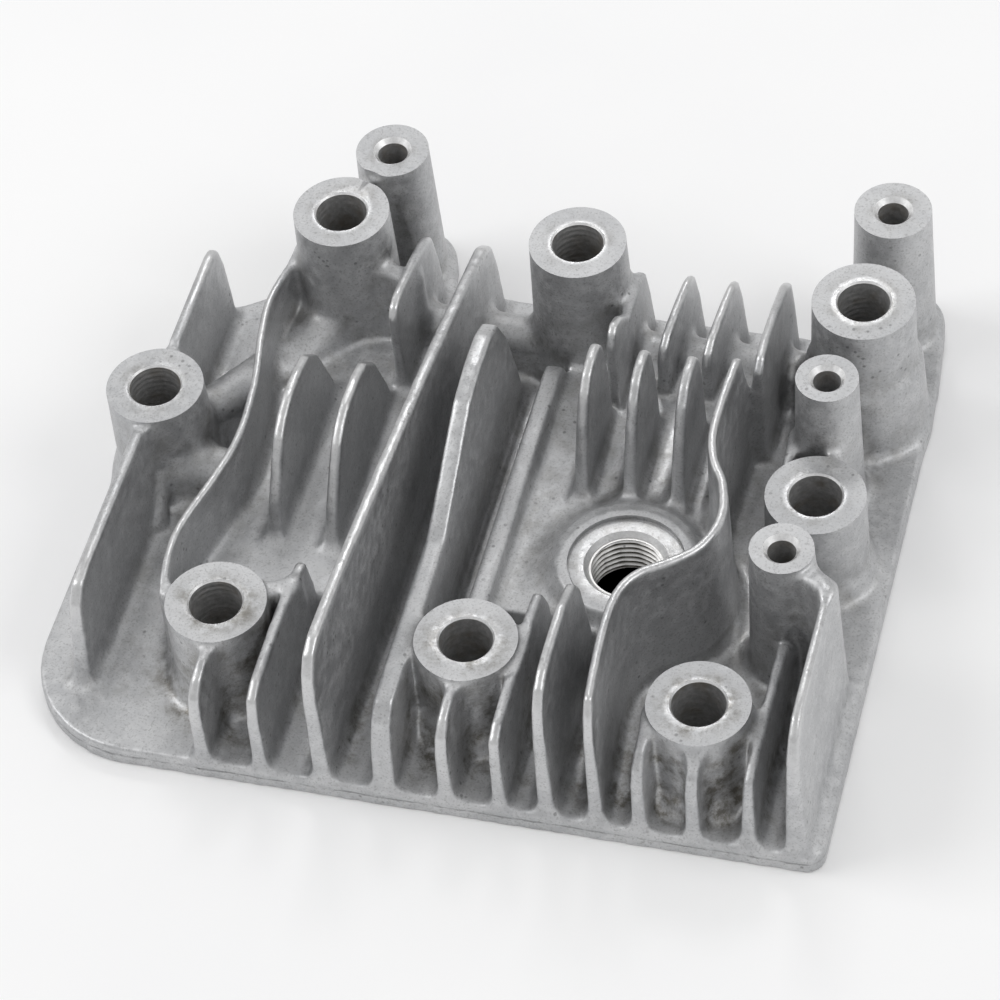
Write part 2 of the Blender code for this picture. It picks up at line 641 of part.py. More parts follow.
def build_webs(left_wall_cut, boss_cuts):
    side = boss_cuts["head_bolt_boss_left_side"]
    rear_left = boss_cuts["head_bolt_boss_rear_left"]
    webs = [
        ("side_web_rear", (-54.3, 64.9), (-41.3, 84.0), 2.6, STANDS, 12.4, [side, left_wall_cut]),
        ("side_web_front", (-54.3, 64.9), (-38.5, 49.0), 3.0, STANDS, 11.4, [side, left_wall_cut]),
        ("rear_corner_web", (-38.6, 90.0), (-29.5, 104.2), 2.2, LEFT_ROOF_TOP + GAP, 12.5,
         [rear_left, left_wall_cut]),
    ]
    for name, start, end, half, bottom, top, cutters in webs:
        web = add_part(name, beam_mesh(name, start, end, half, bottom, top), 0.50)
        carve(web, cutters)
    cross_loop = [(-4.5, 25.0), (1.6, 25.0), (1.6, 28.6), (-4.5, 28.6)]
    add_part("long_fin_cross_web", slab("long_fin_cross_web", [cross_loop], STANDS, 8.0), 0.50)
    right = boss_cuts["head_bolt_boss_right_side"]
    shroud = boss_cuts["shroud_boss_right_rear"]
    fin("pocket_rib_left", 59.3, [(60.0, STANDS), (60.0, 19.0), (79.0, 18.0), (79.0, STANDS)],
        [right, shroud], tip=0.8, root=1.2)
    fin("pocket_rib_right", 67.8, [(66.0, STANDS), (66.0, 21.0), (77.0, 21.0), (77.0, STANDS)],
        [right, shroud], tip=0.8, root=1.1)
    ridge = add_part("right_front_gusset",
                     wall_mesh("right_front_gusset", [(72.6, 35.8), (66.0, 41.0)], STANDS, 31.5, 0.9, 1.4))
    carve(ridge, [boss_cuts["shroud_boss_right_front"], bpy.data.objects["right_front_wall_clearance"]])


def build_clearances():
    """Grown copies of the rails and the left roof, used to part the fins from them."""
    rails = beam_mesh("rail_clearance", (-29.0, 101.0), (68.0, 101.0), 4.0 + GAP, STANDS - 2.0, RAIL_TOP + GAP)
    rail_cut = add_cutter("rail_clearance", rails)
    roof = slab("left_roof_clearance",
                [[(-42.0, 34.9), (-33.0, 34.3), (-25.0, 34.7), (-9.3, 34.7), (-9.3, 97.0), (-42.0, 97.0)]],
                STANDS - 1.0, LEFT_ROOF_TOP + GAP)
    add_cutter("left_roof_clearance", roof)
    wall = fin_mesh("right_front_wall_clearance", 74.5,
                    [(-1.0, STANDS - 1.0), (-1.0, 45.0), (37.1, 45.0), (37.1, STANDS - 1.0)],
                    0.8 + 2 * GAP, 1.4 + GAP, outer_root=4.0)
    add_cutter("right_front_wall_clearance", wall)
    return rail_cut


def shade_parts():
    for obj in collections["parts"].objects:
        obj.data.shade_smooth()
        obj.data.set_sharp_from_angle(angle=math.radians(32))


def main():
    clear_scene()
    make_collection("parts", "cylinder_head")
    make_collection("cutters", "cutters")
    build_deck()
    boss_cuts = build_bolt_bosses()
    boss_cuts.update(build_shroud_bosses())
    plug_cut = build_plug_boss()
    rail_cut = build_clearances()
    left_path, right_path = build_curved_walls(boss_cuts)
    left_wall_cut = wall_clearance(left_path)
    build_roofs(left_path, right_path, plug_cut, boss_cuts)
    build_front_fins(boss_cuts)
    build_long_fins(rail_cut, boss_cuts)
    build_side_fins(boss_cuts)
    build_inner_fins(rail_cut, boss_cuts)
    build_rails(boss_cuts)
    build_webs(left_wall_cut, boss_cuts)
    shade_parts()


main()
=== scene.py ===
import math

import bmesh
import bpy
import numpy as np
import openvdb
from mathutils import Matrix, Vector


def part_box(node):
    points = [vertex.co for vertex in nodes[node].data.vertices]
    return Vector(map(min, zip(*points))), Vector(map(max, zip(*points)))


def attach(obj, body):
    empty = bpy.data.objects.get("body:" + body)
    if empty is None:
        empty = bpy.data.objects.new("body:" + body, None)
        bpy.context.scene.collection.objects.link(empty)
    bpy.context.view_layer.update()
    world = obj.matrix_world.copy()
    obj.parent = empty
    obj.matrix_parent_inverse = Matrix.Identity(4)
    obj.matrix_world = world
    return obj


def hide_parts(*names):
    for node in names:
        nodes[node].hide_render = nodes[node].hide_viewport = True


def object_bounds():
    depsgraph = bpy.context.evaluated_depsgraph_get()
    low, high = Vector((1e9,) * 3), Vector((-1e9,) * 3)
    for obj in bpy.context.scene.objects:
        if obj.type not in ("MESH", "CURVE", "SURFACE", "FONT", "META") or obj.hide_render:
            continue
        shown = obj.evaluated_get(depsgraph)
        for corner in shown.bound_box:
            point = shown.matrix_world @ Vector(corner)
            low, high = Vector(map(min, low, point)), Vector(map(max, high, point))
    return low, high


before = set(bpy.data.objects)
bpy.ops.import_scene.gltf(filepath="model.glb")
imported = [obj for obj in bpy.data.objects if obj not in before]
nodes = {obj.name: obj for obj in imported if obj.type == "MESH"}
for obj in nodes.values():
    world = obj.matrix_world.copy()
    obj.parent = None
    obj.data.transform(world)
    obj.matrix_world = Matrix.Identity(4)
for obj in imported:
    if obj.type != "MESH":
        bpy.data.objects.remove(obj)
cad_low, cad_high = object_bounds()

# ------------------------------------------------------------------ sizes, in millimetres

VOXEL = 0.4
BAND = 10
FAR = BAND * VOXEL
ROOT_FILLET = 2.6
EDGE_SOFTNESS = 0.38
SKIN_GROWTH = 0.06
CAVITY_SPREAD = 3.0
SQUARE_EDGE = 0.8
FACES = 170_000

# Ragged flash along the front edge of the deck; a cell is counted in voxels
FLASH_SEED = 11
FLASH_CELL = 4
FLASH_HEIGHT = 1.2
FLASH_SPREAD = 0.42
FLASH_REACH = 4.0
FLASH_SIZE = 0.45
FLASH_GAPS = 0.25

# The straight front edge and the datum line that plan positions are measured from
PLAN_X = cad_low.x * 1000 + 63.8
PLAN_Y = cad_low.y * 1000

# How far the cast skin stands above a seat before machining takes it down
MACHINED_SPAN = 1.3

THREAD_PITCH = 1.25


def at(x, y, z=0.0):
    """Plan position to the row frame, both in millimetres."""
    return np.array([x + PLAN_X, y + PLAN_Y, z], float)


# ------------------------------------------------------------------ the casting as a distance field

low = np.floor(np.array(cad_low) * 1000 / VOXEL).astype(int) - 12
high = np.ceil(np.array(cad_high) * 1000 / VOXEL).astype(int) + 12
field = np.full(high - low, FAR, np.float32)


def coordinates(corner, shape):
    """Sparse x, y and z of a block of the lattice, in millimetres."""
    axes = [(np.arange(n) + c) * VOXEL for n, c in zip(shape, corner)]
    return np.meshgrid(*axes, indexing="ij", sparse=True)


def mesh_distance(mesh):
    """Signed distance of a closed mesh on the shared lattice: (corner index, values)."""
    count = len(mesh.vertices)
    points = np.empty(count * 3, np.float32)
    mesh.vertices.foreach_get("co", points)
    points = points.reshape(-1, 3) * 1000
    mesh.calc_loop_triangles()
    triangles = np.empty(len(mesh.loop_triangles) * 3, np.int32)
    mesh.loop_triangles.foreach_get("vertices", triangles)
    grid = openvdb.FloatGrid.createLevelSetFromPolygons(
        points, triangles=triangles.reshape(-1, 3).astype(np.uint32),
        transform=openvdb.createLinearTransform(voxelSize=VOXEL), halfWidth=float(BAND))
    corner = np.floor(points.min(0) / VOXEL).astype(int) - BAND - 1
    end = np.ceil(points.max(0) / VOXEL).astype(int) + BAND + 2
    values = np.empty(end - corner, np.float32)
    grid.copyToArray(values, ijk=tuple(int(c) for c in corner))
    return corner, values


def add(corner, values, fillet):
    """Blend values into the casting, with a fillet where they meet what is there."""
    start = np.maximum(corner, low)
    end = np.minimum(corner + np.array(values.shape), high)
    if np.any(end <= start):
        return
    inner = tuple(slice(s - c, e - c) for s, e, c in zip(start, end, corner))
    outer = tuple(slice(s - c, e - c) for s, e, c in zip(start, end, low))
    a, b = field[outer], values[inner]
    nearest = np.minimum(a, b)
    if fillet > 0:
        overlap = np.maximum(fillet - np.abs(a - b), 0) / fillet
        blended = nearest - overlap * overlap * fillet / 4
        nearest = np.where(nearest >= FAR - 0.02, nearest, blended)
    field[outer] = nearest


def local_box(points, reach):
    """Corner index and shape of the block of lattice round some points."""
    points = np.array(points, float)
    corner = np.floor((points.min(0) - reach) / VOXEL).astype(int) - 1
    end = np.ceil((points.max(0) + reach) / VOXEL).astype(int) + 2
    return corner, end - corner


def rod(p, q, p_radius, q_radius, fillet):
    """Round rib between two points, thicker at one end if the radii differ."""
    corner, shape = local_box([p, q], max(p_radius, q_radius) + FAR)
    x, y, z = coordinates(corner, shape)
    axis = q - p
    t = ((x - p[0]) * axis[0] + (y - p[1]) * axis[1] + (z - p[2]) * axis[2]) / float(axis @ axis)
    t = np.clip(t, 0, 1)
    away = np.sqrt((x - p[0] - t * axis[0]) ** 2 + (y - p[1] - t * axis[1]) ** 2
                   + (z - p[2] - t * axis[2]) ** 2)
    values = away - (p_radius + (q_radius - p_radius) * t)
    add(corner, np.minimum(values, FAR).astype(np.float32), fillet)


def cone(x0, y0, bottom, top, bottom_radius, top_radius, fillet):
    """Upright drafted cylinder."""
    reach = max(bottom_radius, top_radius) + FAR
    corner, shape = local_box([[x0 - reach, y0 - reach, bottom], [x0 + reach, y0 + reach, top]], FAR)
    x, y, z = coordinates(corner, shape)
    slope = (bottom_radius - top_radius) / (top - bottom)
    side = (np.hypot(x - x0, y - y0) - (top_radius + (top - z) * slope)) / math.hypot(1, slope)
    values = np.maximum(np.maximum(side, z - top), bottom - z)
    add(corner, np.clip(values, -FAR, FAR).astype(np.float32), fillet)


def web(p, q, half, top, fillet, crown, bottom=2.0):
    """Upright rib between two plan points, with a rounded top."""
    reach = half + FAR
    corner, shape = local_box([[*p[:2], bottom], [*q[:2], top]], reach)
    x, y, z = coordinates(corner, shape)
    along = q[:2] - p[:2]
    t = np.clip(((x - p[0]) * along[0] + (y - p[1]) * along[1]) / float(along @ along), 0, 1)
    across = np.hypot(x - p[0] - t * along[0], y - p[1] - t * along[1])
    u = across - (half - crown)
    v = z - (top - crown)
    values = np.hypot(np.maximum(u, 0), np.maximum(v, 0)) + np.minimum(np.maximum(u, v), 0) - crown
    values = np.maximum(values, bottom - z)
    add(corner, np.clip(values, -FAR, FAR).astype(np.float32), fillet)


def undercut_rim(x0, y0, top, rim):
    """Hold the cast surfaces next to a boss just below its machined top, so that its rim is a full circle."""
    reach = rim + 2.4
    corner, shape = local_box([[x0 - reach, y0 - reach, top - 2], [x0 + reach, y0 + reach, top + 4]], 0.5)
    x, y, z = coordinates(corner, shape)
    away = np.hypot(x - x0, y - y0)
    ring = np.minimum(np.minimum(away - rim - 0.05, z - (top - 0.75)), rim + 2.2 - away)
    start = np.maximum(corner, low)
    end = np.minimum(corner + np.array(ring.shape), high)
    inner = tuple(slice(a - c, b - c) for a, b, c in zip(start, end, corner))
    outer = tuple(slice(a - c, b - c) for a, b, c in zip(start, end, low))
    field[outer] = np.maximum(field[outer], ring[inner])


def boss_sizes(name):
    """Centre, top height, top radius and bore radius of a boss, from its CAD node."""
    box_low, box_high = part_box(name)
    centre = (box_low + box_high) / 2 * 1000
    points = np.array([v.co for v in nodes[name].data.vertices]) * 1000
    top = points[:, 2].max()
    rim = points[points[:, 2] > top - 0.05]
    radii = np.hypot(rim[:, 0] - centre.x, rim[:, 1] - centre.y)
    return centre.x, centre.y, top, radii.max(), radii.min()


bolt_bosses = {n: boss_sizes(n) for n in sorted(nodes) if n.startswith("head_bolt_boss")}
shroud_bosses = {n: boss_sizes(n) for n in sorted(nodes) if n.startswith("shroud_boss")}

plug_low, plug_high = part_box("spark_plug_boss")
plug = (plug_low + plug_high) / 2 * 1000
plug_points = np.array([v.co for v in nodes["spark_plug_boss"].data.vertices]) * 1000
plug_away = np.hypot(plug_points[:, 0] - plug.x, plug_points[:, 1] - plug.y)
PLUG_BORE = plug_away.min()
PLUG_SEAT = plug_points[(plug_away > 7.0) & (plug_away < 10.25), 2].max()

ORDER = [n for n in sorted(nodes) if n.startswith(("gasket_deck", "chamber_roof"))]
ORDER += [n for n in sorted(nodes) if n not in ORDER and "web" not in n and "rear_rail" not in n]
FILLETS = {"spark_plug_boss": 1.2, "gasket_deck": 1.0, "flat_top_rib": 2.0,
           "rear_fin_1": 1.6, "rear_fin_2": 1.3, "rear_fin_3": 1.3, "rear_fin_4": 1.8}

for name in ORDER:
    corner, values = mesh_distance(nodes[name].data)
    if name in bolt_bosses or name in shroud_bosses:
        x0, y0, top, rim, bore = bolt_bosses.get(name) or shroud_bosses[name]
        x, y, z = coordinates(corner, values.shape)
        away = np.hypot(x - x0, y - y0)
        core = np.maximum(np.maximum(away - rim + 0.6, z - top - MACHINED_SPAN), 3.0 - z)
        collar = np.maximum(np.maximum(away - rim, z - top - MACHINED_SPAN), top - 3.0 - z)
        values = np.minimum(values, np.minimum(core, collar)).astype(np.float32)
    if name == "spark_plug_boss":
        x, y, z = coordinates(corner, values.shape)
        away = np.hypot(x - plug.x, y - plug.y)
        core = np.maximum(np.maximum(away - 10.0, z - PLUG_SEAT - 0.5), plug_low.z * 1000 + 0.3 - z)
        rim_cap = np.minimum(z - PLUG_SEAT - 0.12, away - 9.6)
        values = np.maximum(np.minimum(values, core), rim_cap).astype(np.float32)
    add(corner, values, FILLETS.get(name, ROOT_FILLET))

# Rear rail: a rounded bar on a solid foot
for name in ("rear_rail_left", "rear_rail_right"):
    rail_low, rail_high = (np.array(v) * 1000 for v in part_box(name))
    middle_y = (rail_low[1] + rail_high[1]) / 2
    left_end = np.array([rail_low[0] - 3, middle_y])
    right_end = np.array([rail_high[0] + 3, middle_y])
    web(left_end, right_end, half=4.0, top=rail_high[2] + 0.3, fillet=2.6, crown=3.7)

# Tube-like ribs beside the left boss
left_x, left_y = bolt_bosses["head_bolt_boss_left_side"][:2]
web(np.array([left_x + 4, left_y + 6]), np.array([left_x + 13.2, left_y + 19.4]),
    half=4.2, top=12.6, fillet=3.2, crown=4.0)
web(np.array([left_x + 3.5, left_y - 5.4]), np.array([left_x + 12.0, left_y - 4.6]),
    half=3.8, top=12.0, fillet=4.2, crown=3.4)
rod(np.array([left_x + 1.9, left_y - 8.0, 10.4]), np.array([left_x + 2.4, left_y - 15.5, 4.6]),
    p_radius=1.2, q_radius=1.5, fillet=2.0)

# Ramp in front of the rear left boss
rear_x, rear_y = bolt_bosses["head_bolt_boss_rear_left"][:2]
rod(np.array([rear_x - 8.2, rear_y - 17.6, 7.4]), np.array([rear_x - 3.4, rear_y - 8.0, 8.8]),
    p_radius=4.3, q_radius=5.4, fillet=2.6)

# Small ties between bosses and the fins or walls beside them
web(np.array([rear_x + 7.5, rear_y - 3.6]), np.array([rear_x + 14.0, rear_y - 5.6]),
    half=1.7, top=24.4, fillet=2.4, crown=1.5)
front_x, front_y = bolt_bosses["head_bolt_boss_front_left"][:2]
web(np.array([front_x + 6.5, front_y + 5.0]), np.array([front_x + 11.4, front_y + 7.2]),
    half=1.5, top=21.7, fillet=1.8, crown=1.2)
side_x, side_y = shroud_bosses["shroud_boss_right_front"][:2]
wall_low, wall_high = (np.array(v) * 1000 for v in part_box("right_front_wall"))
web(np.array([wall_low[0] + 1.0, wall_high[1] - 3.0]), np.array([side_x + 3.6, side_y - 1.6]),
    half=1.25, top=wall_high[2] - 0.1, fillet=2.6, crown=1.0)

# Dome round the plug, and feet of the bosses spreading into the deck
cone(plug.x - 0.4, plug.y + 1.6, bottom=8.6, top=PLUG_SEAT - 0.25,
     bottom_radius=17.2, top_radius=12.4, fillet=3.0)
for x0, y0, top, rim, bore in bolt_bosses.values():
    cone(x0, y0, bottom=1.0, top=5.6, bottom_radius=rim + 1.7, top_radius=rim + 0.6, fillet=2.6)
    undercut_rim(x0, y0, top, rim)
for x0, y0, top, rim, bore in shroud_bosses.values():
    undercut_rim(x0, y0, top, rim)


def blur(values, spread):
    """Separable Gaussian blur, which rounds every cast edge a little."""
    reach = int(math.ceil(spread * 3))
    weights = np.exp(-0.5 * (np.arange(-reach, reach + 1) / spread) ** 2)
    weights /= weights.sum()
    for axis in range(3):
        padded = np.pad(values, [(reach, reach) if a == axis else (0, 0) for a in range(3)], mode="edge")
        total = np.zeros_like(values)
        for i, w in enumerate(weights):
            window = [slice(None)] * 3
            window[axis] = slice(i, i + values.shape[axis])
            total += np.float32(w) * padded[tuple(window)]
        values = total
    return values


field = blur(field, EDGE_SOFTNESS / VOXEL) - SKIN_GROWTH

draw = np.random.default_rng(FLASH_SEED)
coarse = draw.random((field.shape[0] // FLASH_CELL + 2, field.shape[1] // FLASH_CELL + 2)).astype(np.float32)
cell = np.ones((FLASH_CELL, FLASH_CELL), np.float32)
ragged = np.kron(coarse, cell)[:field.shape[0], :field.shape[1]]
lattice_z = (np.arange(field.shape[2]) + low[2]) * VOXEL
lip = np.exp(-((lattice_z - FLASH_HEIGHT) / FLASH_SPREAD) ** 2)
lattice_y = (np.arange(field.shape[1]) + low[1]) * VOXEL
near_edge = np.clip(PLAN_Y + FLASH_REACH - lattice_y, 0, 1)
amount = np.clip(ragged - FLASH_GAPS, 0, 1) * near_edge[None, :]
field = field - (FLASH_SIZE * amount[:, :, None] * lip[None, None, :]).astype(np.float32)

# The layers below this height repeat, so that the cut at the table leaves a square edge
ground = int(round(SQUARE_EDGE / VOXEL)) - low[2]
field[:, :, :ground] = field[:, :, ground:ground + 1]
field[:, :, :3] = FAR
wide = blur(field, CAVITY_SPREAD / VOXEL)


def sample(values, points):
    """Trilinear reading of a lattice at points in millimetres."""
    place = points / VOXEL - low
    base = np.clip(np.floor(place).astype(int), 0, np.array(values.shape) - 2)
    part = place - base
    result = np.zeros(len(points), np.float32)
    for dx in (0, 1):
        for dy in (0, 1):
            for dz in (0, 1):
                weight = (np.abs(1 - dx - part[:, 0]) * np.abs(1 - dy - part[:, 1])
                          * np.abs(1 - dz - part[:, 2]))
                result += weight * values[base[:, 0] + dx, base[:, 1] + dy, base[:, 2] + dz]
    return result


def mesh_from_arrays(name, points, faces):
    """Mesh from points in metres and faces that all have the same number of corners."""
    mesh = bpy.data.meshes.new(name)
    mesh.vertices.add(len(points))
    mesh.vertices.foreach_set("co", points.astype(np.float32).ravel())
    mesh.loops.add(faces.size)
    mesh.loops.foreach_set("vertex_index", faces.astype(np.int32).ravel())
    mesh.polygons.add(len(faces))
    mesh.polygons.foreach_set("loop_start", np.arange(0, faces.size, faces.shape[1], dtype=np.int32))
    mesh.update(calc_edges=True)
    mesh.validate()
    return mesh


def link(name, data):
    obj = bpy.data.objects.new(name, data)
    bpy.context.scene.collection.objects.link(obj)
    return obj


solid = openvdb.FloatGrid(background=FAR)
solid.copyFromArray(field, ijk=tuple(int(c) for c in low))
solid.transform = openvdb.createLinearTransform(voxelSize=VOXEL)
points, _, quads = solid.convertToPolygons(isovalue=0.0, adaptivity=0.0)
skin = mesh_from_arrays("cylinder_head_casting", points * 0.001, quads[:, ::-1])
casting = link("cylinder_head_casting", skin)


# ------------------------------------------------------------------ machining: seats, bores, threads

def turned_solid(name, profile, x0, y0, steps=96):
    """Closed solid of revolution, (radius, height) in millimetres; the ends lie on the axis."""
    angles = np.arange(steps) * 2 * math.pi / steps
    points = []
    for r, z in profile:
        if r == 0.0:
            points.append([(x0, y0, z)])
        else:
            points.append([(x0 + r * math.cos(a), y0 + r * math.sin(a), z) for a in angles])
    return stitched(name, points, steps)


def stitched(name, rings, steps):
    """Mesh that joins each ring to the next; a ring of one point closes an end."""
    vertices, starts = [], []
    for ring in rings:
        starts.append(len(vertices))
        vertices += ring
    faces = []
    for i in range(len(rings) - 1):
        a, b = starts[i], starts[i + 1]
        for k in range(steps):
            n = (k + 1) % steps
            if len(rings[i]) == 1:
                faces.append((a, b + n, b + k))
            elif len(rings[i + 1]) == 1:
                faces.append((a + k, a + n, b))
            else:
                faces.append((a + k, a + n, b + n, b + k))
    mesh = bpy.data.meshes.new(name)
    mesh.from_pydata([tuple(c * 0.001 for c in v) for v in vertices], [], faces)
    mesh.validate()
    return mesh


def thread_solid(name, x0, y0, bottom, top, radius, depth, pitch, relief, steps=96):
    """Cutter for a threaded hole: its skin is a true helix, fading out at both ends."""
    rows = int((top - bottom) / pitch * 12)
    rings = [[(x0, y0, bottom - 2.0)],
             [(x0 + radius * math.cos(a), y0 + radius * math.sin(a), bottom - 2.0)
              for a in np.arange(steps) * 2 * math.pi / steps]]
    for j in range(rows + 1):
        z = bottom + (top - bottom) * j / rows
        fade = min(1.0, (z - bottom) / pitch, (top - z) / (0.4 * pitch))
        ring = []
        for k in range(steps):
            a = 2 * math.pi * k / steps
            phase = (z / pitch - k / steps) % 1.0
            r = radius + depth * fade * (1 - abs(2 * phase - 1))
            ring.append((x0 + r * math.cos(a), y0 + r * math.sin(a), z))
        rings.append(ring)
    for r, z in relief:
        if r == 0.0:
            rings.append([(x0, y0, z)])
        else:
            rings.append([(x0 + r * math.cos(2 * math.pi * k / steps),
                           y0 + r * math.sin(2 * math.pi * k / steps), z) for k in range(steps)])
    return stitched(name, rings, steps)


drills = []
for name, (x0, y0, top, rim, bore) in bolt_bosses.items():
    drills.append(turned_solid(name + "_drill", [
        (0, -4), (bore, -4), (bore, top - 0.35), (bore + 0.3, top), (rim + 0.9, top), (rim + 0.9, top + 4),
        (0, top + 4)], x0, y0))
for name, (x0, y0, top, rim, chamfer) in shroud_bosses.items():
    hole = chamfer - 0.8
    drills.append(turned_solid(name + "_drill", [
        (0, top - 15), (hole, top - 13.4), (hole, top - 0.9), (chamfer, top), (rim + 0.6, top),
        (rim + 0.6, top + 4), (0, top + 4)], x0, y0))

plug_relief = [
    (PLUG_BORE + 0.25, PLUG_SEAT - 1.0), (PLUG_BORE + 1.1, PLUG_SEAT), (10.0, PLUG_SEAT),
    (10.05, PLUG_SEAT - 0.16), (10.3, PLUG_SEAT - 0.16), (10.4, PLUG_SEAT + 5), (0.0, PLUG_SEAT + 5)]
drills.append(thread_solid("plug_thread", plug.x, plug.y, bottom=2.0, top=PLUG_SEAT - 1.0,
                           radius=PLUG_BORE - 0.15, depth=0.75, pitch=THREAD_PITCH, relief=plug_relief))

tool_mesh = bpy.data.meshes.new("drills")
work = bmesh.new()
for drill in drills:
    work.from_mesh(drill)
work.to_mesh(tool_mesh)
work.free()
tools = link("drills", tool_mesh)

# A block under the casting, with its top at the table
TABLE_SPAN = 0.3
TABLE_DEPTH = 0.01
bpy.ops.mesh.primitive_cube_add(size=1, location=(0, 0, -TABLE_DEPTH / 2),
                                scale=(TABLE_SPAN, TABLE_SPAN, TABLE_DEPTH))
bpy.ops.object.transform_apply(location=True, rotation=True, scale=True)
table_cut = bpy.context.active_object


def bake_modifiers(obj):
    """Replace a mesh with the result of its modifiers."""
    bpy.context.view_layer.update()
    graph = bpy.context.evaluated_depsgraph_get()
    mesh = bpy.data.meshes.new_from_object(obj.evaluated_get(graph))
    old = obj.data
    obj.modifiers.clear()
    obj.data = mesh
    bpy.data.meshes.remove(old)


def machine(obj, tool):
    """Take a cutter out of the casting, and delete the cutter."""
    step = obj.modifiers.new("machine", "BOOLEAN")
    step.operation = "DIFFERENCE"
    step.solver = "MANIFOLD"
    step.object = tool
    before = len(obj.data.vertices)
    bake_modifiers(obj)
    bpy.data.objects.remove(tool, do_unlink=True)
    if len(obj.data.vertices) == before:
        raise RuntimeError("a machining cut changed nothing")


# Open fault: stray faces cross the recess underneath. This cut, then thinned, is the likely cause.
machine(casting, table_cut)
triangle_count = sum(len(p.vertices) - 2 for p in casting.data.polygons)
thin = casting.modifiers.new("thin", "DECIMATE")
thin.ratio = min(1.0, FACES / triangle_count)
bake_modifiers(casting)
machine(casting, tools)


# ------------------------------------------------------------------ materials

class Nodes:
    """Small helper to wire a procedural material."""

    def __init__(self, name):
        self.material = bpy.data.materials.new(name)
        self.material.use_nodes = True
        self.tree = self.material.node_tree
        self.shader = self.tree.nodes["Principled BSDF"]
        self.place = self.tree.nodes.new("ShaderNodeTexCoord").outputs["Object"]

    def new(self, kind, **inputs):
        node = self.tree.nodes.new(kind)
        for key, value in inputs.items():
            self.put(node, key, value)
        return node

    def put(self, node, key, value):
        socket = node.inputs[int(key[1:]) if key[0] == "_" and key[1:].isdigit() else key.replace("_", " ")]
        if isinstance(value, bpy.types.NodeSocket):
            self.tree.links.new(value, socket)
        else:
            socket.default_value = value

    def noise(self, scale, detail=4.0, roughness=0.55):
        node = self.new("ShaderNodeTexNoise", Vector=self.place, Scale=scale, Detail=detail,
                        Roughness=roughness)
        return node.outputs["Fac"]

    def voronoi(self, scale):
        node = self.new("ShaderNodeTexVoronoi", Vector=self.place, Scale=scale)
        return node.outputs["Distance"]

    def attribute(self, name):
        node = self.new("ShaderNodeAttribute")
        node.attribute_name = name
        return node.outputs["Fac"]

    def ramp(self, value, low, high, start=0.0, end=1.0):
        node = self.new("ShaderNodeMapRange", Value=value, From_Min=low, From_Max=high,
                        To_Min=start, To_Max=end)
        node.interpolation_type = "SMOOTHSTEP"
        return node.outputs["Result"]

    def math(self, operation, a, b=0.0):
        node = self.new("ShaderNodeMath", _0=a, _1=b)
        node.operation = operation
        return node.outputs[0]

    def mix(self, factor, a, b):
        node = self.new("ShaderNodeMix")
        node.data_type = "RGBA"
        for index, value in ((0, factor), (6, a), (7, b)):
            self.put(node, "_%d" % index, value)
        return node.outputs[2]

    def bump(self, height, strength, distance, before=None):
        node = self.new("ShaderNodeBump", Height=height, Strength=strength, Distance=distance)
        if before is not None:
            self.put(node, "Normal", before)
        return node.outputs["Normal"]

    def surface(self, **inputs):
        for key, value in inputs.items():
            self.put(self.shader, key, value)
        return self.material


def grey(value, warm=0.0):
    return (value + warm, value + warm * 0.3, value - warm, 1.0)


